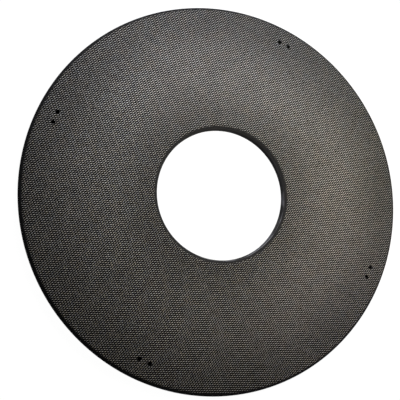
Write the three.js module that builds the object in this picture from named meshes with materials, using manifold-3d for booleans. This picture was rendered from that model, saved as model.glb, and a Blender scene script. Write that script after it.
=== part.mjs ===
// Ring-shaped circle template: a stiff ring board covered in black mesh cloth.
//
// The board is cut to a round outer rim and a concentric round opening. A cloth
// cover is glued over its top, rolls over the rounded rims, and is turned under
// at both rims as a short hem that sits in a rebate of the board. A rubber sheet
// closes the underside and is what the template lies on. Four pairs of pin holes
// near the outer rim go down through the cloth and the board and end on the rubber
// sheet. Each is lined by a short plastic sleeve that stands in the board, under
// the cloth.
//
// Millimetres, +Z up. The origin is on the ring's axis, on the plane that the
// template lies on.

import * as THREE from 'three';
import { mergeVertices } from 'three/addons/utils/BufferGeometryUtils.js';
import Module from 'manifold-3d';

// ---- driving dimensions ----------------------------------------------------
const OUTER_D = 300; //          outer rim, drawn round from outside
const BORE_D = 100.8; //         round opening, drawn round from inside
const THICKNESS = 8; //          whole template
const EDGE_R = 4; //             rounding of the two top rims
const CLOTH_T = 0.9; //          cover
const FOLD_R = 0.9; //           rounding where the cover turns under
const OUTER_HEM = 9; //          width of the turned-under hem at the outer rim
const BORE_HEM = 8; //           width of the hem at the opening
const BACKING_T = 1.2; //        rubber sheet under everything
const BACKING_INSET = 0.5; //    the sheet stops this far inside the cover
const BACKING_CHAMFER = 0.3;
const GLUE = 0.2; //             glue line, left empty between glued faces

const PIN_HOLE_D = 2.8;
const PIN_CIRCLE_R = 135.9; //   radius that the pin holes stand on
const PIN_PAIR_SPACING = 8.25; // centre to centre within a pair
const PIN_PAIR_ANGLES = [46.1, 137.1, 223.3, 313.4]; // degrees, from +X
const SLEEVE_D = 5;

const RING_SEGMENTS = 96;
const HOLE_SEGMENTS = 16;
const OUTER_ARC_STEPS = 5;
const INNER_ARC_STEPS = 3;

// ---- derived ---------------------------------------------------------------
const R_OUT = OUTER_D / 2;
const R_BORE = BORE_D / 2;
const Z_COVER_BOTTOM = BACKING_T;
const Z_HEM_TOP = BACKING_T + CLOTH_T;
const Z_ARC = THICKNESS - EDGE_R; // height of the centres of the rim rounding
const CORE_ARC_R = EDGE_R - CLOTH_T - GLUE;

const wasm = await Module();
wasm.setup();

// ---- helpers ---------------------------------------------------------------
const rad = THREE.MathUtils.degToRad;

// points along a circular arc, both ends included
function arc(cr, cz, r, fromDeg, toDeg, steps) {
  const pts = [];
  for (let i = 0; i <= steps; i++) {
    const a = rad(fromDeg + ((toDeg - fromDeg) * i) / steps);
    pts.push([cr + r * Math.cos(a), cz + r * Math.sin(a)]);
  }
  return pts;
}

// a ring from a closed [radius, height] outline, turned about +Z
function turned(outline, segments) {
  const pts = outline.map(([r, z]) => new THREE.Vector2(r, z));
  pts.push(pts[0].clone());
  const g = new THREE.LatheGeometry(pts, segments);
  g.rotateX(Math.PI / 2);
  return g;
}

function asSolid(geometry) {
  let g = geometry.clone();
  g.deleteAttribute('normal');
  g.deleteAttribute('uv');
  g = mergeVertices(g, 1e-4);
  const p = g.attributes.position.array;
  const t = Array.from(g.index.array);
  const kept = [];
  for (let i = 0; i < t.length; i += 3) {
    if (t[i] !== t[i + 1] && t[i + 1] !== t[i + 2] && t[i] !== t[i + 2]) kept.push(t[i], t[i + 1], t[i + 2]);
  }
  let volume = 0;
  const v = (i) => new THREE.Vector3(p[3 * i], p[3 * i + 1], p[3 * i + 2]);
  for (let i = 0; i < kept.length; i += 3) {
    volume += v(kept[i]).dot(v(kept[i + 1]).cross(v(kept[i + 2]))) / 6;
  }
  if (volume < 0) {
    for (let i = 0; i < kept.length; i += 3) [kept[i + 1], kept[i + 2]] = [kept[i + 2], kept[i + 1]];
  }
  return new wasm.Manifold(
    new wasm.Mesh({ numProp: 3, vertProperties: new Float32Array(p), triVerts: new Uint32Array(kept) }),
  );
}

function asGeometry(solid) {
  const m = solid.getMesh();
  const g = new THREE.BufferGeometry();
  g.setAttribute('position', new THREE.BufferAttribute(new Float32Array(m.vertProperties), 3));
  g.setIndex(new THREE.BufferAttribute(new Uint32Array(m.triVerts), 1));
  g.computeVertexNormals();
  return g;
}

// an upright cylinder through z0..z1 at (x, y)
function drill(x, y, diameter, z0, z1) {
  const g = new THREE.CylinderGeometry(diameter / 2, diameter / 2, z1 - z0, HOLE_SEGMENTS);
  g.rotateX(Math.PI / 2);
  g.translate(x, y, (z0 + z1) / 2);
  return asSolid(g);
}

function part(name, geometry, color, roughness, metalness) {
  const mesh = new THREE.Mesh(geometry, new THREE.MeshStandardMaterial({ color, roughness, metalness }));
  mesh.name = name;
  return mesh;
}

// ---- where the pin holes are -----------------------------------------------
const halfAngle = THREE.MathUtils.radToDeg(Math.asin(PIN_PAIR_SPACING / 2 / PIN_CIRCLE_R));
const pins = PIN_PAIR_ANGLES.flatMap((mid, k) =>
  [mid - halfAngle, mid + halfAngle].map((deg, j) => ({
    name: `pin_sleeve_${'abcd'[k]}${j + 1}`,
    x: PIN_CIRCLE_R * Math.cos(rad(deg)),
    y: PIN_CIRCLE_R * Math.sin(rad(deg)),
  })),
);

function pierced(solid, diameter) {
  let s = solid;
  for (const { x, y } of pins) s = s.subtract(drill(x, y, diameter, -1, THICKNESS + 1));
  return s;
}

const template = new THREE.Group();
template.name = 'circle_template';

// ---- cloth cover -----------------------------------------------------------
// One skin: the top, both rounded rims, both walls and the two hems.
const coverOutline = [
  // outside, from the outer hem's edge round to the bore hem's edge
  [R_OUT - OUTER_HEM, Z_COVER_BOTTOM],
  ...arc(R_OUT - FOLD_R, Z_COVER_BOTTOM + FOLD_R, FOLD_R, -90, 0, 2),
  ...arc(R_OUT - EDGE_R, Z_ARC, EDGE_R, 0, 90, OUTER_ARC_STEPS),
  ...arc(R_BORE + EDGE_R, Z_ARC, EDGE_R, 90, 180, OUTER_ARC_STEPS),
  ...arc(R_BORE + FOLD_R, Z_COVER_BOTTOM + FOLD_R, FOLD_R, 180, 270, 2),
  [R_BORE + BORE_HEM, Z_COVER_BOTTOM],
  // back along the inside of the skin
  [R_BORE + BORE_HEM, Z_HEM_TOP],
  [R_BORE + CLOTH_T, Z_HEM_TOP],
  ...arc(R_BORE + EDGE_R, Z_ARC, EDGE_R - CLOTH_T, 180, 90, INNER_ARC_STEPS),
  ...arc(R_OUT - EDGE_R, Z_ARC, EDGE_R - CLOTH_T, 90, 0, INNER_ARC_STEPS),
  [R_OUT - CLOTH_T, Z_HEM_TOP],
  [R_OUT - OUTER_HEM, Z_HEM_TOP],
];
template.add(
  part(
    'cloth_cover',
    asGeometry(pierced(asSolid(turned(coverOutline, RING_SEGMENTS)), PIN_HOLE_D)),
    0x4a4843,
    0.75,
    0.0,
  ),
);

// ---- core board ------------------------------------------------------------
// Fills the cover: rounded at both top rims, rebated at both bottom rims for the hems.
const coreIn = R_BORE + CLOTH_T + GLUE;
const coreOut = R_OUT - CLOTH_T - GLUE;
const coreOutline = [
  [R_BORE + BORE_HEM + GLUE, Z_COVER_BOTTOM],
  [R_OUT - OUTER_HEM - GLUE, Z_COVER_BOTTOM],
  [R_OUT - OUTER_HEM - GLUE, Z_HEM_TOP + GLUE],
  [coreOut, Z_HEM_TOP + GLUE],
  ...arc(R_OUT - EDGE_R, Z_ARC, CORE_ARC_R, 0, 90, INNER_ARC_STEPS),
  ...arc(R_BORE + EDGE_R, Z_ARC, CORE_ARC_R, 90, 180, INNER_ARC_STEPS),
  [coreIn, Z_HEM_TOP + GLUE],
  [R_BORE + BORE_HEM + GLUE, Z_HEM_TOP + GLUE],
];
template.add(
  part(
    'core_board',
    asGeometry(pierced(asSolid(turned(coreOutline, RING_SEGMENTS)), SLEEVE_D + 2 * GLUE)),
    0x8a6b48,
    0.9,
    0.0,
  ),
);

// ---- rubber backing --------------------------------------------------------
// Not pierced: it is the floor of the pin holes.
const backIn = R_BORE + BACKING_INSET;
const backOut = R_OUT - BACKING_INSET;
const backingOutline = [
  [backIn + BACKING_CHAMFER, 0],
  [backOut - BACKING_CHAMFER, 0],
  [backOut, BACKING_CHAMFER],
  [backOut, BACKING_T],
  [backIn, BACKING_T],
  [backIn, BACKING_CHAMFER],
];
template.add(
  part(
    'rubber_backing',
    asGeometry(asSolid(turned(backingOutline, RING_SEGMENTS))),
    0x1b1b1d,
    0.85,
    0.0,
  ),
);

// ---- pin sleeves -----------------------------------------------------------
// Each stands in the board from the backing up to the underside of the cloth.
const zSleeveTop = THICKNESS - CLOTH_T - GLUE;
const sleeveOutline = [
  [PIN_HOLE_D / 2, BACKING_T],
  [SLEEVE_D / 2, BACKING_T],
  [SLEEVE_D / 2, zSleeveTop],
  [PIN_HOLE_D / 2, zSleeveTop],
];
for (const { name, x, y } of pins) {
  const sleeve = part(name, asGeometry(asSolid(turned(sleeveOutline, HOLE_SEGMENTS))), 0x141414, 0.5, 0.0);
  sleeve.position.set(x, y, 0);
  template.add(sleeve);
}

export default template;
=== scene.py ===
"""Looks of the circle template: a ring board covered in black mesh cloth.

Works in metres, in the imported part's own frame. Mesh shapes are computed in
millimetres and scaled once, when a mesh is made.
"""

import math

import bmesh
import bpy
import numpy as np
from mathutils import Matrix, Vector


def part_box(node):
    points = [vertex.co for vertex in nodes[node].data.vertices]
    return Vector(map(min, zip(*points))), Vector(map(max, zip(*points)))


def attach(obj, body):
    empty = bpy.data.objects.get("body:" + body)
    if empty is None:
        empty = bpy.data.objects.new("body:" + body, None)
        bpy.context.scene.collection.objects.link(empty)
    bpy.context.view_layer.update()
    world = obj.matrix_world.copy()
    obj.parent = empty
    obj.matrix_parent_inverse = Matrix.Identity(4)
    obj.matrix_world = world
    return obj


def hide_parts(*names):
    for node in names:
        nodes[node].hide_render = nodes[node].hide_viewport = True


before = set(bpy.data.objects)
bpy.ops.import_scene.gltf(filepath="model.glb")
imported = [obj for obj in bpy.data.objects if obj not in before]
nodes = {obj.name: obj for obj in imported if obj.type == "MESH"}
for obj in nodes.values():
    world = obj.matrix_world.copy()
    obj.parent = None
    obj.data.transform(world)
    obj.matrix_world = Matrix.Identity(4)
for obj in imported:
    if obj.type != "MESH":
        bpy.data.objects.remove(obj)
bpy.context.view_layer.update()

MM = 0.001

# ---------------------------------------------------------------- dimensions
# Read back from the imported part, so that the looks follow the solids.
cover_low, cover_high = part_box("cloth_cover")
back_low, back_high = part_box("rubber_backing")
R_OUT = cover_high.x / MM
TOP = cover_high.z / MM
FOLD_Z = cover_low.z / MM

R_BORE = 50.4
EDGE_R = 4.0
CLOTH_T = 0.9
OUTER_HEM = 9.0
BORE_HEM = 8.0
PIN_R = 1.4
SLEEVE_R = 2.5


def sleeve_centres():
    out = []
    for name in sorted(nodes):
        if name.startswith("pin_sleeve"):
            lo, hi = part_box(name)
            out.append(((lo.x + hi.x) / 2 / MM, (lo.y + hi.y) / 2 / MM))
    return out


PINS = sleeve_centres()

# The weave. Flat warp tapes run along Y, WARP apart; shiny weft threads run
# along X, WEFT apart. A weft thread rides over every second warp, staggered
# from one weft to the next, so its floats make the rows of short dashes.
WARP = 1.769
WEFT = 0.7845
CROWN = -0.02  # heights against the solid's surface, mm
BETWEEN = -0.17
WARP_TOP = -0.40


# ---------------------------------------------------------------- mesh tools
def make_mesh(name, verts_mm, faces, materials, uvs=None, slots=None):
    me = bpy.data.meshes.new(name)
    verts = np.asarray(verts_mm, float) * MM
    me.from_pydata(verts.tolist(), [], [list(f) for f in faces])
    if uvs is not None:
        layer = me.uv_layers.new(name="cloth")
        loops = np.zeros(len(me.loops), np.int32)
        me.loops.foreach_get("vertex_index", loops)
        layer.data.foreach_set("uv", np.asarray(uvs, np.float32)[loops].ravel())
    me.polygons.foreach_set("use_smooth", [True] * len(me.polygons))
    for material in materials:
        me.materials.append(material)
    if slots is not None:
        me.polygons.foreach_set("material_index", slots)
    me.update()
    ob = bpy.data.objects.new(name, me)
    bpy.context.scene.collection.objects.link(ob)
    return ob


# ---------------------------------------------------------------- node tools
class Nodes:
    """A short way to write a node tree."""

    def __init__(self, name):
        self.m = bpy.data.materials.new(name)
        self.m.use_nodes = True
        self.t = self.m.node_tree
        self.t.nodes.clear()
        self.out = self.t.nodes.new("ShaderNodeOutputMaterial")
        self.bsdf = self.t.nodes.new("ShaderNodeBsdfPrincipled")
        self.t.links.new(self.bsdf.outputs[0], self.out.inputs["Surface"])

    def put(self, socket, value):
        if isinstance(value, bpy.types.NodeSocket):
            self.t.links.new(value, socket)
        else:
            socket.default_value = value

    def new(self, kind, inputs=None, **props):
        n = self.t.nodes.new(kind)
        for k, v in props.items():
            setattr(n, k, v)
        for k, v in (inputs or {}).items():
            self.put(n.inputs[k], v)
        return n

    def math(self, op, a, b=None, c=None, clamp=False):
        n = self.t.nodes.new("ShaderNodeMath")
        n.operation = op
        n.use_clamp = clamp
        self.put(n.inputs[0], a)
        if b is not None:
            self.put(n.inputs[1], b)
        if c is not None:
            self.put(n.inputs[2], c)
        return n.outputs[0]

    def ramp(self, value, lo, hi, to_lo=0.0, to_hi=1.0, smooth=True):
        n = self.t.nodes.new("ShaderNodeMapRange")
        n.interpolation_type = "SMOOTHSTEP" if smooth else "LINEAR"
        self.put(n.inputs["Value"], value)
        n.inputs["From Min"].default_value = lo
        n.inputs["From Max"].default_value = hi
        n.inputs["To Min"].default_value = to_lo
        n.inputs["To Max"].default_value = to_hi
        return n.outputs["Result"]

    def mix(self, fac, a, b, blend="MIX"):
        n = self.t.nodes.new("ShaderNodeMix")
        n.data_type = "RGBA"
        n.blend_type = blend
        self.put(n.inputs[0], fac)
        self.put(n.inputs[6], a)
        self.put(n.inputs[7], b)
        return n.outputs[2]

    def noise(self, vector, scale, detail=2.0, rough=0.5, dims="3D"):
        n = self.t.nodes.new("ShaderNodeTexNoise")
        n.noise_dimensions = dims
        self.put(n.inputs["Vector"], vector)
        n.inputs["Scale"].default_value = scale
        n.inputs["Detail"].default_value = detail
        n.inputs["Roughness"].default_value = rough
        return n.outputs["Fac"]

    def bump(self, height, distance, strength=1.0, normal=None):
        n = self.t.nodes.new("ShaderNodeBump")
        n.inputs["Strength"].default_value = strength
        n.inputs["Distance"].default_value = distance
        self.put(n.inputs["Height"], height)
        if normal is not None:
            self.put(n.inputs["Normal"], normal)
        return n.outputs[0]


# ---------------------------------------------------------------- materials
# painted shade: the next colour is the near black put in and round the pin holes
PIN_HOLE_SHADE = (0.0095, 0.0095, 0.0105, 1)
RIM_GREY = (0.023, 0.023, 0.024, 1)  # the same cloth where it is drawn flat
FADE_FROM, FADE_TO = 0.8, 2.1  # mm round the rounded rims, over which the weave goes flat


def cloth_material():
    k = Nodes("mesh_cloth")
    uv = k.new("ShaderNodeUVMap", uv_map="cloth").outputs[0]
    sep = k.new("ShaderNodeSeparateXYZ", {0: uv})
    u, v = sep.outputs[0], sep.outputs[1]  # millimetres on the flat cloth

    # threads wander a little, so that no two crowns are alike
    wander = k.new("ShaderNodeTexNoise", noise_dimensions="2D")
    k.put(wander.inputs["Vector"], uv)
    wander.inputs["Scale"].default_value = 0.35
    wander.inputs["Detail"].default_value = 1.0
    wsep = k.new("ShaderNodeSeparateColor", {0: wander.outputs["Color"]})
    du = k.math("MULTIPLY_ADD", wsep.outputs[0], 0.16, -0.08)
    dv = k.math("MULTIPLY_ADD", wsep.outputs[1], 0.12, -0.06)
    u = k.math("ADD", u, du)
    v = k.math("ADD", v, dv)

    cu = k.math("COSINE", k.math("MULTIPLY", u, math.pi / WARP))
    cv = k.math("COSINE", k.math("MULTIPLY", v, math.pi / WEFT))
    # 1 on the middle of a weft float, -1 where the warp is on top; long along the weft
    qu = k.math("MULTIPLY", k.math("SIGN", cu), k.math("POWER", k.math("ABSOLUTE", cu), 0.40))
    qv = k.math("MULTIPLY", k.math("SIGN", cv), k.math("POWER", k.math("ABSOLUTE", cv), 1.30))
    crown = k.math("MULTIPLY", qu, qv)
    # the floats sink in where the cloth turns over the rims
    rho = k.new("ShaderNodeVectorMath", {0: uv}, operation="LENGTH").outputs["Value"]
    woven = k.math("MULTIPLY", k.ramp(rho, R_BORE + EDGE_R - FADE_TO, R_BORE + EDGE_R - FADE_FROM), k.ramp(rho, R_OUT - EDGE_R + FADE_FROM, R_OUT - EDGE_R + FADE_TO, 1.0, 0.0))
    # where the painted highlight goes: the middle of each weft float, faded out towards the rims
    crown_mask = k.math("MULTIPLY", k.ramp(crown, 0.40, 1.0), woven)
    # painted shade: this mask is 0 in the low ground between the floats, which is then coloured near black
    valley_shade_mask = k.ramp(crown, -0.50, 0.35)

    # every float has its own brightness
    pu = k.math("MULTIPLY_ADD", u, 0.5 / WARP, 0.5)
    pv = k.math("MULTIPLY", v, 0.5 / WEFT)
    cell = k.new("ShaderNodeCombineXYZ", {0: k.math("FLOOR", k.math("ADD", pu, pv)), 1: k.math("FLOOR", k.math("SUBTRACT", pu, pv)), 2: 0.0})
    own = k.new("ShaderNodeTexWhiteNoise", {"Vector": cell.outputs[0]}, noise_dimensions="2D").outputs["Value"]

    # filaments: fine lines along the thread that is on top
    warp_lines = k.noise(k.new("ShaderNodeCombineXYZ", {0: k.math("MULTIPLY", u, 9.0), 1: k.math("MULTIPLY", v, 0.9), 2: 0.0}).outputs[0], 1.0, 2.0, 0.6)
    weft_lines = k.noise(k.new("ShaderNodeCombineXYZ", {0: k.math("MULTIPLY", u, 0.9), 1: k.math("MULTIPLY", v, 9.0), 2: 7.0}).outputs[0], 1.0, 2.0, 0.6)
    on_weft = k.ramp(crown, -0.25, 0.25)
    lines = k.math("ADD", k.math("MULTIPLY", weft_lines, on_weft), k.math("MULTIPLY", warp_lines, k.math("SUBTRACT", 1.0, on_weft)))

    # slow variation of the dye and of handling over the whole piece
    coord = k.new("ShaderNodeTexCoord").outputs["Object"]
    slow = k.noise(coord, 14.0, 3.0, 0.55)
    mid = k.noise(coord, 90.0, 2.0, 0.6)

    # painted shade: the first colour is the near black of the low ground between the floats
    valley_shade = (0.0010, 0.0010, 0.0011, 1)
    thread = (0.0085, 0.0082, 0.0080, 1)
    # painted highlight: pale grey for the float crowns, standing for the glints of the shiny weft
    top = (0.56, 0.545, 0.520, 1)
    col = k.mix(valley_shade_mask, valley_shade, thread)
    # painted shade round each pin hole: the crown highlight is left out of a narrow ring round it, so the cloth there
    # stays dark
    near = None
    for x, y in PINS:
        d = k.new("ShaderNodeVectorMath", {0: uv, 1: (x, y, 0)}, operation="DISTANCE").outputs["Value"]
        near = d if near is None else k.math("MINIMUM", near, d)
    pin_shade_mask = k.ramp(near, PIN_R + 0.05, PIN_R + 0.45)
    # painted highlight: the pale grey goes on the float crowns
    col = k.mix(k.math("MULTIPLY", crown_mask, pin_shade_mask), col, top)
    col = k.mix(woven, RIM_GREY, col)
    shade = k.math("MULTIPLY", k.ramp(slow, 0.25, 0.75, 0.90, 1.10, smooth=False), k.ramp(mid, 0.25, 0.75, 0.94, 1.06, smooth=False))
    shade = k.math("MULTIPLY", shade, k.ramp(lines, 0.3, 0.7, 0.88, 1.12, smooth=False))
    shade = k.math("MULTIPLY", shade, k.ramp(own, 0.0, 1.0, 0.84, 1.16, smooth=False))
    # painted shade: the cloth is made darker towards both rims, to 0.66 of its colour at the bore and 0.76 at the
    # outer rim
    shade = k.math("MULTIPLY", shade, k.ramp(rho, R_BORE, 92.0, 0.66, 1.0))
    shade = k.math("MULTIPLY", shade, k.ramp(rho, 104.0, 142.0, 1.0, 0.76))
    # the dye drifts a little between brown and blue-green
    drift = k.ramp(k.noise(coord, 130.0, 1.0, 0.5), 0.3, 0.7, -0.035, 0.035, smooth=False)
    shade_c = k.new(
        "ShaderNodeCombineColor",
        {0: k.math("MULTIPLY_ADD", shade, drift, shade), 1: shade, 2: k.math("SUBTRACT", shade, k.math("MULTIPLY", shade, drift))},
    ).outputs[0]
    col = k.mix(1.0, col, shade_c, "MULTIPLY")
    k.put(k.bsdf.inputs["Base Color"], col)

    rough = k.math("ADD", k.ramp(crown, -0.6, 0.9, 0.85, 0.50), k.math("MULTIPLY_ADD", lines, 0.16, -0.08))
    k.put(k.bsdf.inputs["Roughness"], rough)
    k.bsdf.inputs["Specular IOR Level"].default_value = 0.08

    h = k.math("ADD", k.math("MULTIPLY", lines, 0.05), k.math("MULTIPLY", k.noise(uv, 6.0, 2.0, 0.5, "2D"), 0.02))
    k.put(k.bsdf.inputs["Normal"], k.bump(h, 0.001, 0.9))
    return k.m


def rim_material():
    """The same cloth where it is drawn flat round a rim: black, with painted highlights in pale bluish streaks that
    run along the rim.
    """
    k = Nodes("mesh_cloth_rim")
    uv = k.new("ShaderNodeUVMap", uv_map="cloth").outputs[0]
    sep = k.new("ShaderNodeSeparateXYZ", {0: uv})
    rho = k.new("ShaderNodeVectorMath", {0: uv}, operation="LENGTH").outputs["Value"]
    along = k.new("ShaderNodeCombineXYZ", {0: k.math("MULTIPLY", rho, 1.1), 1: k.math("MULTIPLY", sep.outputs[0], 0.030), 2: k.math("MULTIPLY", sep.outputs[1], 0.030)}).outputs[0]
    streak = k.noise(along, 1.0, 3.0, 0.6)
    grit = k.noise(uv, 3.5, 2.0, 0.6, "2D")
    # lines 1.75 mm apart that wander and come and go along the rim, on which the painted highlights lie
    phase = k.math("ADD", k.math("MULTIPLY", rho, 2 * math.pi / 1.75), k.math("MULTIPLY", k.noise(uv, 0.045, 2.0, 0.5, "2D"), 7.0))
    line = k.ramp(k.math("SINE", phase), -0.1, 0.9)
    # painted highlight by direction: strongest on the side towards -Y, where the bore wall faces the window_top lamp
    out = k.new("ShaderNodeVectorMath", {0: uv}, operation="NORMALIZE").outputs["Vector"]
    toward = k.new("ShaderNodeVectorMath", {0: out, 1: (0.12, -0.99, 0)}, operation="DOT_PRODUCT").outputs["Value"]
    highlight_side_mask = k.ramp(k.math("ADD", k.math("MULTIPLY", toward, 0.35), k.noise(uv, 0.05, 2.0, 0.5, "2D")), 0.60, 0.84)
    light = k.math("ADD", k.math("MULTIPLY", k.math("MULTIPLY", line, highlight_side_mask), k.ramp(rho, 60, 140, 1.0, 0.30)), k.math("MULTIPLY", k.ramp(streak, 0.50, 0.70), 0.10))
    # painted highlight: the lines turn pale bluish grey, fading from the bore to 0.30 at the outer rim, with a little
    # more along the random streaks
    col = k.mix(light, RIM_GREY, (0.230, 0.232, 0.262, 1))
    # painted shade: the rim cloth goes near black in and round each pin hole
    near = None
    for x, y in PINS:
        d = k.new("ShaderNodeVectorMath", {0: uv, 1: (x, y, 0)}, operation="DISTANCE").outputs["Value"]
        near = d if near is None else k.math("MINIMUM", near, d)
    col = k.mix(k.ramp(near, PIN_R + 0.1, PIN_R + 0.3), PIN_HOLE_SHADE, col)
    shade = k.ramp(grit, 0.3, 0.7, 0.80, 1.20, smooth=False)
    shade_c = k.new("ShaderNodeCombineColor", {0: shade, 1: shade, 2: shade}).outputs[0]
    k.put(k.bsdf.inputs["Base Color"], k.mix(1.0, col, shade_c, "MULTIPLY"))
    k.put(k.bsdf.inputs["Roughness"], k.ramp(streak, 0.3, 0.7, 0.72, 0.50, smooth=False))
    k.bsdf.inputs["Specular IOR Level"].default_value = 0.12
    h = k.math("ADD", k.math("MULTIPLY", streak, 0.22), k.math("MULTIPLY", grit, 0.03))
    k.put(k.bsdf.inputs["Normal"], k.bump(h, 0.001, 0.9))
    return k.m


def grain_material(name, colour, dark, scale, rough, bump_mm, spec=0.5, stretch=(1, 1, 1)):
    """A moulded or pressed surface: mottled colour, fine grain and its bump."""
    k = Nodes(name)
    coord = k.new("ShaderNodeTexCoord").outputs["Object"]
    m = k.new("ShaderNodeMapping", {0: coord})
    m.inputs["Scale"].default_value = stretch
    vec = m.outputs[0]
    fine = k.noise(vec, scale, 4.0, 0.6)
    slow = k.noise(vec, scale / 24.0, 3.0, 0.5)
    fac = k.math("ADD", k.math("MULTIPLY", k.ramp(fine, 0.3, 0.7), 0.6), k.math("MULTIPLY", k.ramp(slow, 0.3, 0.7), 0.4))
    k.put(k.bsdf.inputs["Base Color"], k.mix(fac, dark, colour))
    k.put(k.bsdf.inputs["Roughness"], k.ramp(fine, 0.2, 0.8, rough - 0.08, rough + 0.08, smooth=False))
    k.bsdf.inputs["Specular IOR Level"].default_value = spec
    k.put(k.bsdf.inputs["Normal"], k.bump(fine, bump_mm * MM, 0.8))
    return k.m


def rubber_material():
    """Moulded non-slip rubber: a pebbled grain 1.6 mm apart, fine pitting, and greyer where it has rubbed."""
    k = Nodes("rubber_sheet")
    coord = k.new("ShaderNodeTexCoord").outputs["Object"]
    cells = k.new("ShaderNodeTexVoronoi", voronoi_dimensions="2D", feature="SMOOTH_F1")
    k.put(cells.inputs["Vector"], coord)
    cells.inputs["Scale"].default_value = 620.0
    cells.inputs["Randomness"].default_value = 0.55
    cells.inputs["Smoothness"].default_value = 0.25
    cells = cells.outputs["Distance"]
    pebble = k.ramp(cells, 0.58, 0.12)
    fine = k.noise(coord, 2400.0, 3.0, 0.6)
    slow = k.noise(coord, 34.0, 4.0, 0.55)
    rubbed = k.math("MULTIPLY", k.ramp(slow, 0.47, 0.66), k.ramp(cells, 0.42, 0.16))
    # painted shade: the grooves between the pebbles are darker than the pebble tops
    col = k.mix(pebble, (0.0030, 0.0030, 0.0033, 1), (0.0095, 0.0095, 0.0105, 1))
    col = k.mix(k.math("MULTIPLY", rubbed, 0.65), col, (0.030, 0.030, 0.031, 1))
    k.put(k.bsdf.inputs["Base Color"], k.mix(k.math("MULTIPLY", k.ramp(fine, 0.50, 0.75), 0.30), col, (0.020, 0.020, 0.022, 1)))
    k.put(k.bsdf.inputs["Roughness"], k.ramp(pebble, 0, 1, 0.86, 0.66, smooth=False))
    k.bsdf.inputs["Specular IOR Level"].default_value = 0.4
    h = k.math("ADD", k.math("MULTIPLY", pebble, 0.16), k.math("MULTIPLY", fine, 0.04))
    k.put(k.bsdf.inputs["Normal"], k.bump(h, 0.001, 0.9))
    return k.m


CLOTH = cloth_material()
RIM = rim_material()
BOARD = grain_material("fibre_board", (0.30, 0.20, 0.115, 1), (0.16, 0.10, 0.055, 1), 1500.0, 0.85, 0.06, 0.3, (1, 1, 5))
RUBBER = rubber_material()
SLEEVE = grain_material("black_plastic", (0.0050, 0.0050, 0.0055, 1), (0.0022, 0.0022, 0.0026, 1), 2600.0, 0.62, 0.02, 0.25)


# ---------------------------------------------------------------- cloth cover
S_ROUND = 3.3  # the weave's own mesh goes this far round each rounded rim
RHO_OUT = R_OUT - EDGE_R + S_ROUND  # the weave ends here on the flat cloth
RHO_IN = R_BORE + EDGE_R - S_ROUND
SMOOTH_IN = 0.12  # the drawn-tight cloth on the walls lies this far inside


def to_solid(u, v, h):
    """A point of the flat cloth, at height h over it, on the wrapped ring."""
    rho = np.hypot(u, v)
    th = np.arctan2(v, u)
    flat_out, flat_in = R_OUT - EDGE_R, R_BORE + EDGE_R
    a_out = np.clip((rho - flat_out) / EDGE_R, 0, math.pi / 2)
    a_in = np.clip((flat_in - rho) / EDGE_R, 0, math.pi / 2)
    a = a_out + a_in
    side = np.where(rho > (flat_out + flat_in) / 2, 1.0, -1.0)
    base_r = np.clip(rho, flat_in, flat_out)
    rr = base_r + side * (EDGE_R + h) * np.sin(a)
    zz = TOP - EDGE_R + (EDGE_R + h) * np.cos(a)
    return np.stack([rr * np.cos(th), rr * np.sin(th), zz], 1)


def region(u, v):
    """Above 0 on the cloth's woven part, in mm from its nearest edge, with that edge's circle."""
    rho = np.hypot(u, v)
    best = np.minimum(RHO_OUT - rho, rho - RHO_IN)
    circle = np.where(RHO_OUT - rho < rho - RHO_IN, 0, 1)
    for n, (x, y) in enumerate(PINS):
        d = np.hypot(u - x, v - y) - PIN_R
        closer = d < best
        best = np.where(closer, d, best)
        circle = np.where(closer, n + 2, circle)
    return best, circle


CIRCLES = [(0.0, 0.0, RHO_OUT), (0.0, 0.0, RHO_IN)] + [(x, y, PIN_R) for x, y in PINS]


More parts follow.
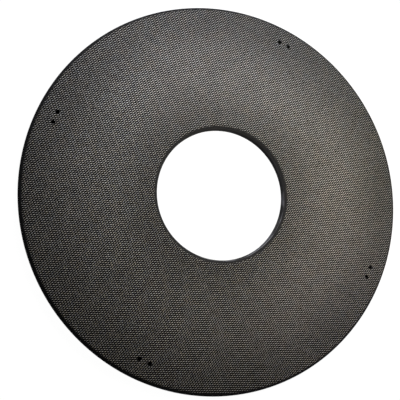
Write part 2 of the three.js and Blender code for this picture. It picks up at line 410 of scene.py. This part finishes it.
def woven_top():
    """The woven part as points on the flat cloth, heights and triangles, cut clean at every edge."""
    du, dv = WARP / 2, WEFT
    ni, nj = int(RHO_OUT / du) + 3, int(RHO_OUT / dv) + 3
    ii, jj = np.meshgrid(np.arange(-ni, ni + 1), np.arange(-nj, nj + 1), indexing="ij")
    u, v = (ii * du).ravel().astype(float), (jj * dv).ravel().astype(float)
    even = ii % 2 == 0
    on_crown = even & ((ii // 2 + jj) % 2 == 0)
    h = np.where(on_crown, CROWN, np.where(even, WARP_TOP, BETWEEN)).ravel()
    rng = np.random.default_rng(7)
    h = h + rng.uniform(-0.025, 0.0, h.shape)
    on_crown = on_crown.ravel()

    # pull the points that are close to an edge onto it
    f, circle = region(u, v)
    near = np.abs(f) < 0.24
    for c, (x, y, r) in enumerate(CIRCLES):
        pick = near & (circle == c)
        d = np.hypot(u[pick] - x, v[pick] - y)
        u[pick], v[pick] = x + (u[pick] - x) * r / d, y + (v[pick] - y) * r / d
    sign = np.where(near, 0, np.where(f > 0, 1, -1))

    wide = 2 * nj + 1
    a = (np.arange(2 * ni)[:, None] * wide + np.arange(2 * nj)[None, :]).ravel()
    b, c, d = a + wide, a + wide + 1, a + 1  # (i+1, j), (i+1, j+1), (i, j+1)
    through_ac = on_crown[a] | on_crown[c]  # the diagonal always starts on a crown
    tris = np.concatenate(
        [
            np.stack([a, b, c], 1)[through_ac],
            np.stack([a, c, d], 1)[through_ac],
            np.stack([a, b, d], 1)[~through_ac],
            np.stack([b, c, d], 1)[~through_ac],
        ]
    )
    s = sign[tris]
    keep = (s >= 0).all(1) & (s > 0).any(1)
    whole = tris[keep]
    # three points on one edge make a triangle only inside the cloth
    flat3 = tris[(s == 0).all(1)]
    if len(flat3):
        cu, cv = u[flat3].mean(1), v[flat3].mean(1)
        whole = np.concatenate([whole, flat3[region(cu, cv)[0] > 0.02]])
    cut = tris[(s > 0).any(1) & (s < 0).any(1)]

    pu, pv, ph = list(u), list(v), list(h)
    made = {}

    def crossing(p, q):
        key = (min(p, q), max(p, q))
        if key not in made:
            lo, hi = (p, q) if sign[p] > 0 else (q, p)
            x0, y0, x1, y1 = u[lo], v[lo], u[hi], v[hi]
            t0, t1 = 0.0, 1.0
            for _ in range(30):
                t = (t0 + t1) / 2
                g = float(region(np.array([x0 + (x1 - x0) * t]), np.array([y0 + (y1 - y0) * t]))[0][0])
                t0, t1 = (t, t1) if g > 0 else (t0, t)
            made[key] = len(pu)
            pu.append(x0 + (x1 - x0) * t0)
            pv.append(y0 + (y1 - y0) * t0)
            ph.append(h[lo] + (h[hi] - h[lo]) * t0)
        return made[key]

    extra = []
    for tri in cut.tolist():
        poly = []
        for n in range(3):
            p, q = tri[n], tri[(n + 1) % 3]
            if sign[p] >= 0:
                poly.append(p)
            if sign[p] * sign[q] < 0:
                poly.append(crossing(p, q))
        for n in range(1, len(poly) - 1):
            extra.append((poly[0], poly[n], poly[n + 1]))
    tris = np.concatenate([whole, np.array(extra, dtype=whole.dtype).reshape(-1, 3)])
    pu, pv, ph = np.array(pu), np.array(pv), np.array(ph)

    used = np.unique(tris)
    index = np.full(len(pu), -1)
    index[used] = np.arange(len(used))
    return pu[used], pv[used], ph[used], index[tris]


def edge_loops(tris):
    """The open edges of a triangle mesh as closed loops, each in its triangles' direction."""
    e = np.concatenate([tris[:, [0, 1]], tris[:, [1, 2]], tris[:, [2, 0]]])
    seen = {(a, b) for a, b in e.tolist()}
    nxt = {a: b for a, b in seen if (b, a) not in seen}
    loops = []
    while nxt:
        start = min(nxt)
        loop, p = [start], nxt.pop(start)
        while p != start:
            loop.append(p)
            p = nxt.pop(p)
        loops.append(loop)
    return loops


def strip(faces, pts, loop_a, loop_b):
    """Triangles between two loops round the axis that have different numbers of points. Both run anticlockwise."""

    def start_sorted(loop):
        ang = [math.atan2(pts[i][1], pts[i][0]) % (2 * math.pi) for i in loop]
        k = ang.index(min(ang))
        return loop[k:] + loop[:k], ang[k:] + ang[:k]

    la, aa = start_sorted(loop_a)
    lb, ab = start_sorted(loop_b)
    la, aa = la + [la[0]], aa + [aa[0] + 2 * math.pi]
    lb, ab = lb + [lb[0]], ab + [ab[0] + 2 * math.pi]
    i = j = 0
    out = []
    while i < len(la) - 1 or j < len(lb) - 1:
        if j == len(lb) - 1 or (i < len(la) - 1 and aa[i + 1] <= ab[j + 1]):
            out.append((la[i], la[i + 1], lb[j]))
            i += 1
        else:
            out.append((la[i], lb[j + 1], lb[j]))
            j += 1
    faces.extend(out)


RING = 216


def build_cover():
    u, v, h, tris = woven_top()
    rho = np.hypot(u, v)
    # the weave is drawn flat as it goes down the walls
    s = np.maximum(rho - (R_OUT - EDGE_R), (R_BORE + EDGE_R) - rho)
    t = np.clip((s - FADE_FROM) / (S_ROUND - 0.3 - FADE_FROM), 0, 1)
    t = t * t * (3 - 2 * t)
    h = h * (1 - t) + (-SMOOTH_IN) * t
    pts = to_solid(u, v, h).tolist()
    uvs = np.stack([u, v], 1).tolist()
    faces = tris.tolist()
    woven_faces = len(faces)

    loops = edge_loops(tris)
    loops.sort(key=len, reverse=True)
    outer, bore = loops[0], loops[1]
    holes = loops[2:]
    assert len(holes) == len(PINS), (len(holes), len(PINS))

    ang = [2 * math.pi * n / RING for n in range(RING)]

    def ring(r, z, flat_r):
        first = len(pts)
        for a in ang:
            pts.append([r * math.cos(a), r * math.sin(a), z])
            uvs.append([flat_r * math.cos(a), flat_r * math.sin(a)])
        return list(range(first, first + RING))

    def join(a, b):
        """a to b, seen from the side where faces should point with b below or outside of a."""
        for n in range(RING):
            m = (n + 1) % RING
            faces.append((a[n], b[n], b[m]))
            faces.append((a[n], b[m], a[m]))

    fold = 0.86
    zf = FOLD_Z + 0.04
    inner_t = CLOTH_T - 0.02

    def side(sgn, rim, hem):
        """The wall, fold, hem and inner face of one side, from the woven part's edge to the inner flat's edge."""
        rows = []
        wall_top = TOP - EDGE_R
        d = SMOOTH_IN
        out = lambda depth: rim - sgn * depth  # noqa: E731
        turn = (R_OUT - EDGE_R) if sgn > 0 else (R_BORE + EDGE_R)  # where the rounding starts on the flat cloth
        flat = turn + sgn * EDGE_R * math.pi / 2
        z_end = zf + fold
        # the rest of the rounding, with creases drawn along it
        for deg, crease in ((53, 0.0), (60, 0.07), (68, 0.0), (77, 0.08), (86, 0.0)):
            a = math.radians(deg)
            rr = EDGE_R - d - crease
            rows.append((rim - sgn * EDGE_R + sgn * rr * math.sin(a), wall_top + rr * math.cos(a), turn + sgn * EDGE_R * a))
        # and along the wall
        steps = [(0.25, 0.02), (0.60, 0.10), (0.95, 0.0), (1.35, 0.09), (1.70, 0.0)]
        for dz, crease in steps:
            rows.append((out(d + crease), wall_top - dz, flat + sgn * dz))
        for n in range(1, 4):
            a = math.radians(90 * n / 3)
            rows.append((out(d + fold * (1 - math.cos(a))), z_end - fold * math.sin(a), flat + sgn * (1.9 + fold * a)))
        hem_edge = rim - sgn * hem
        rows.append((hem_edge, zf, flat + sgn * (1.9 + hem)))
        rows.append((hem_edge, FOLD_Z + CLOTH_T - 0.03, flat + sgn * (2.6 + hem)))
        rows.append((out(inner_t), FOLD_Z + CLOTH_T - 0.03, flat + sgn * (3.0)))
        rows.append((out(inner_t), wall_top, flat))
        for n in (1, 2):
            a = math.radians(90 * n / 2)
            rr = EDGE_R - inner_t
            rows.append((rim - sgn * EDGE_R + sgn * rr * math.cos(a), wall_top + rr * math.sin(a), flat - sgn * 2.0 * n))
        return rows

    def add_side(loop, sgn, rim, hem):
        rows = side(sgn, rim, hem)
        prev = None
        for r, z, fr in rows:
            cur = ring(r, z, fr)
            if prev is None:
                # the open loop runs with the woven part on its left: anticlockwise outside, clockwise at the bore
                if sgn > 0:
                    strip_faces = []
                    strip(strip_faces, pts, loop, cur)
                    faces.extend([(a, c, b) for a, b, c in strip_faces])
                else:
                    strip_faces = []
                    strip(strip_faces, pts, loop[::-1], cur)
                    faces.extend(strip_faces)
            else:
                before = len(faces)
                join(prev, cur)
                if sgn < 0:
                    faces[before:] = [f[::-1] for f in faces[before:]]
            prev = cur
        return prev

    inner_out = add_side(outer, 1, R_OUT, OUTER_HEM)
    inner_in = add_side(bore, -1, R_BORE, BORE_HEM)

    # the inner face, with the pin holes cut through to it
    z_in = TOP - inner_t
    from mathutils.geometry import delaunay_2d_cdt

    co, keep_idx, edges, member = [], [], [], {}

    def add_loop(idx):
        first = len(co)
        for i in idx:
            co.append(Vector((pts[i][0], pts[i][1])))
            keep_idx.append(i)
            member[i] = idx[0]
        n = len(idx)
        edges.extend([(first + k, first + (k + 1) % n) for k in range(n)])

    add_loop(inner_out)
    add_loop(inner_in)
    for loop in holes:
        low = []
        for i in loop:
            low.append(len(pts))
            pts.append([u[i], v[i], z_in])
            uvs.append([u[i], v[i]])
        n = len(loop)
        for k in range(n):
            a, b = loop[k], loop[(k + 1) % n]
            faces.append((b, a, low[k]))
            faces.append((b, low[k], low[(k + 1) % n]))
        add_loop(low)
    _, _, cdt_faces, vert_src, _, _ = delaunay_2d_cdt(co, edges, [], 0, 1e-7)
    for f in cdt_faces:
        src = [keep_idx[vert_src[q][0]] for q in f]
        loops_met = {member[i] for i in src}
        if len(loops_met) == 1 and member[src[0]] != inner_out[0]:
            continue  # a triangle across the bore or across a pin hole
        x0, y0 = pts[src[0]][:2]
        x1, y1 = pts[src[1]][:2]
        x2, y2 = pts[src[2]][:2]
        ccw = (x1 - x0) * (y2 - y0) - (x2 - x0) * (y1 - y0) > 0
        faces.append(tuple(src[::-1]) if ccw else tuple(src))
    slots = [0] * woven_faces + [1] * (len(faces) - woven_faces)
    return make_mesh("mesh_cloth_cover", pts, faces, [CLOTH, RIM], uvs, slots)


cover = build_cover()


def audit(ob):
    bm = bmesh.new()
    bm.from_mesh(ob.data)
    open_edges = sum(1 for e in bm.edges if len(e.link_faces) == 1)
    many = sum(1 for e in bm.edges if len(e.link_faces) > 2)
    bad = sum(1 for e in bm.edges if len(e.link_faces) == 2 and not e.is_contiguous)
    thin = sum(1 for f in bm.faces if f.calc_area() < 1e-12)
    vol = bm.calc_volume(signed=True)
    print("AUDIT", ob.name, "faces", len(bm.faces), "open", open_edges, "many", many, "flipped", bad, "thin", thin, "volume mm3", round(vol * 1e9, 1))
    bm.free()


audit(cover)
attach(cover, "root")
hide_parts("cloth_cover")

for name, ob in nodes.items():
    material = BOARD if name == "core_board" else RUBBER if name == "rubber_backing" else SLEEVE
    if name == "cloth_cover":
        continue
    ob.data.materials.clear()
    ob.data.materials.append(material)

# ---------------------------------------------------------------- stage
me = bpy.data.meshes.new("floor")
me.from_pydata([(-3, -3, -0.00005), (3, -3, -0.00005), (3, 3, -0.00005), (-3, 3, -0.00005)], [], [(0, 1, 2, 3)])
floor = bpy.data.objects.new("floor", me)
bpy.context.scene.collection.objects.link(floor)
kf = Nodes("white_paper")
kf.bsdf.inputs["Base Color"].default_value = (0.08, 0.08, 0.08, 1)
kf.bsdf.inputs["Roughness"].default_value = 0.9
kf.bsdf.inputs["Specular IOR Level"].default_value = 0.1
kf.bsdf.inputs["Emission Color"].default_value = (1, 1, 1, 1)
kf.bsdf.inputs["Emission Strength"].default_value = 0.985
me.materials.append(kf.m)
floor.visible_diffuse = False
floor.visible_glossy = False

# what the ground gives back to the object is a plane of its own just below, which isn't seen
me = bpy.data.meshes.new("ground_glow")
me.from_pydata([(-3, -3, -0.0002), (3, -3, -0.0002), (3, 3, -0.0002), (-3, 3, -0.0002)], [], [(0, 1, 2, 3)])
glow = bpy.data.objects.new("ground_glow", me)
bpy.context.scene.collection.objects.link(glow)
kg = Nodes("ground_glow")
kg.bsdf.inputs["Base Color"].default_value = (0.08, 0.08, 0.08, 1)
kg.bsdf.inputs["Roughness"].default_value = 0.9
kg.bsdf.inputs["Specular IOR Level"].default_value = 0.1
kg.bsdf.inputs["Emission Color"].default_value = (0.94, 0.96, 1.0, 1)
kg.bsdf.inputs["Emission Strength"].default_value = 0.22
me.materials.append(kg.m)
glow.visible_camera = False

# a pale wall all round, far off: it is only seen, and lights nothing
WALL_R, WALL_H, WALL_N = 3.0, 3.0, 64
ring = [(WALL_R * math.cos(2 * math.pi * n / WALL_N), WALL_R * math.sin(2 * math.pi * n / WALL_N)) for n in range(WALL_N)]
me = bpy.data.meshes.new("wall")
me.from_pydata(
    [(x, y, -0.0001) for x, y in ring] + [(x, y, WALL_H) for x, y in ring] + [(0, 0, WALL_H + 1.0)],
    [],
    [(n, n + WALL_N, (n + 1) % WALL_N + WALL_N, (n + 1) % WALL_N) for n in range(WALL_N)]
    + [(n + WALL_N, 2 * WALL_N, (n + 1) % WALL_N + WALL_N) for n in range(WALL_N)],
)
wall = bpy.data.objects.new("wall", me)
bpy.context.scene.collection.objects.link(wall)
me.materials.append(kf.m)
for ray in ("visible_diffuse", "visible_glossy", "visible_transmission", "visible_shadow", "visible_volume_scatter"):
    setattr(wall, ray, False)

world = bpy.data.worlds.new("studio")
bpy.context.scene.world = world
world.use_nodes = True
bg = world.node_tree.nodes["Background"]
bg.inputs["Color"].default_value = (0.92, 0.96, 1.0, 1)
bg.inputs["Strength"].default_value = 0.03


def image_dir(deg, elevation):
    """A direction in the row frame: deg anticlockwise from the picture's right, elevation above the floor."""
    a, e = math.radians(deg - 19.6), math.radians(elevation)
    return Vector((math.cos(a) * math.cos(e), math.sin(a) * math.cos(e), math.sin(e)))


def area_light(name, deg, elevation, distance, size, power, colour, aim=(0, 0, 0)):
    light = bpy.data.lights.new(name, "AREA")
    light.shape = "RECTANGLE"
    light.size, light.size_y = size
    light.energy = power
    light.color = colour
    ob = bpy.data.objects.new(name, light)
    bpy.context.scene.collection.objects.link(ob)
    d = image_dir(deg, elevation)
    ob.location = Vector(aim) + d * distance
    ob.rotation_mode = "QUATERNION"
    ob.rotation_quaternion = (-d).to_track_quat("-Z", "Y")
    ob.visible_camera = False
    return ob


def softbox(name, deg, out, up, rgb):
    """A small square lamp, out metres from the ring's axis and up metres over the floor."""
    power = 2.88 * max(rgb)
    colour = [c / max(rgb) for c in rgb]
    area_light(name, deg, math.degrees(math.atan2(up, out)), math.hypot(out, up), (0.12, 0.12), power, colour)


softbox("key_right", 0, 0.09, 0.16, (0.0644, 0.0557, 0.0395))
softbox("key_upper", 45, 0.09, 0.16, (0.0347, 0.0336, 0.0213))
softbox("side_right", 0, 0.15, 0.14, (0.0102, 0.0099, 0.0063))
softbox("side_upper", 30, 0.15, 0.14, (0.0101, 0.0105, 0.0076))
softbox("window_upper", 60, 0.15, 0.14, (0.0452, 0.0492, 0.0624))
softbox("window_top", 110, 0.15, 0.14, (0.1042, 0.1038, 0.1108))
softbox("fill_lower", 330, 0.15, 0.14, (0.0306, 0.0294, 0.0371))

# ---------------------------------------------------------------- camera
cam_data = bpy.data.cameras.new("camera")
cam_data.sensor_width = 36.0
cam_data.lens = 52.9114
cam_data.shift_x = -0.00125  # half a pixel of framing
cam_data.shift_y = 0.00125
cam_data.clip_start = 0.01
cam_data.clip_end = 20.0
camera = bpy.data.objects.new("camera", cam_data)
bpy.context.scene.collection.objects.link(camera)
camera.matrix_world = Matrix(
    (
        (0.8993029287, 0.3203483511, -0.2977098863, -0.1506132195),
        (-0.3447241667, 0.9381646927, -0.0318160086, -0.0132090324),
        (0.2691086981, 0.1312400222, 0.9541260741, 0.4304408730),
        (0, 0, 0, 1),
    )
)
bpy.context.scene.camera = camera
bpy.context.scene.view_settings.view_transform = "Standard"
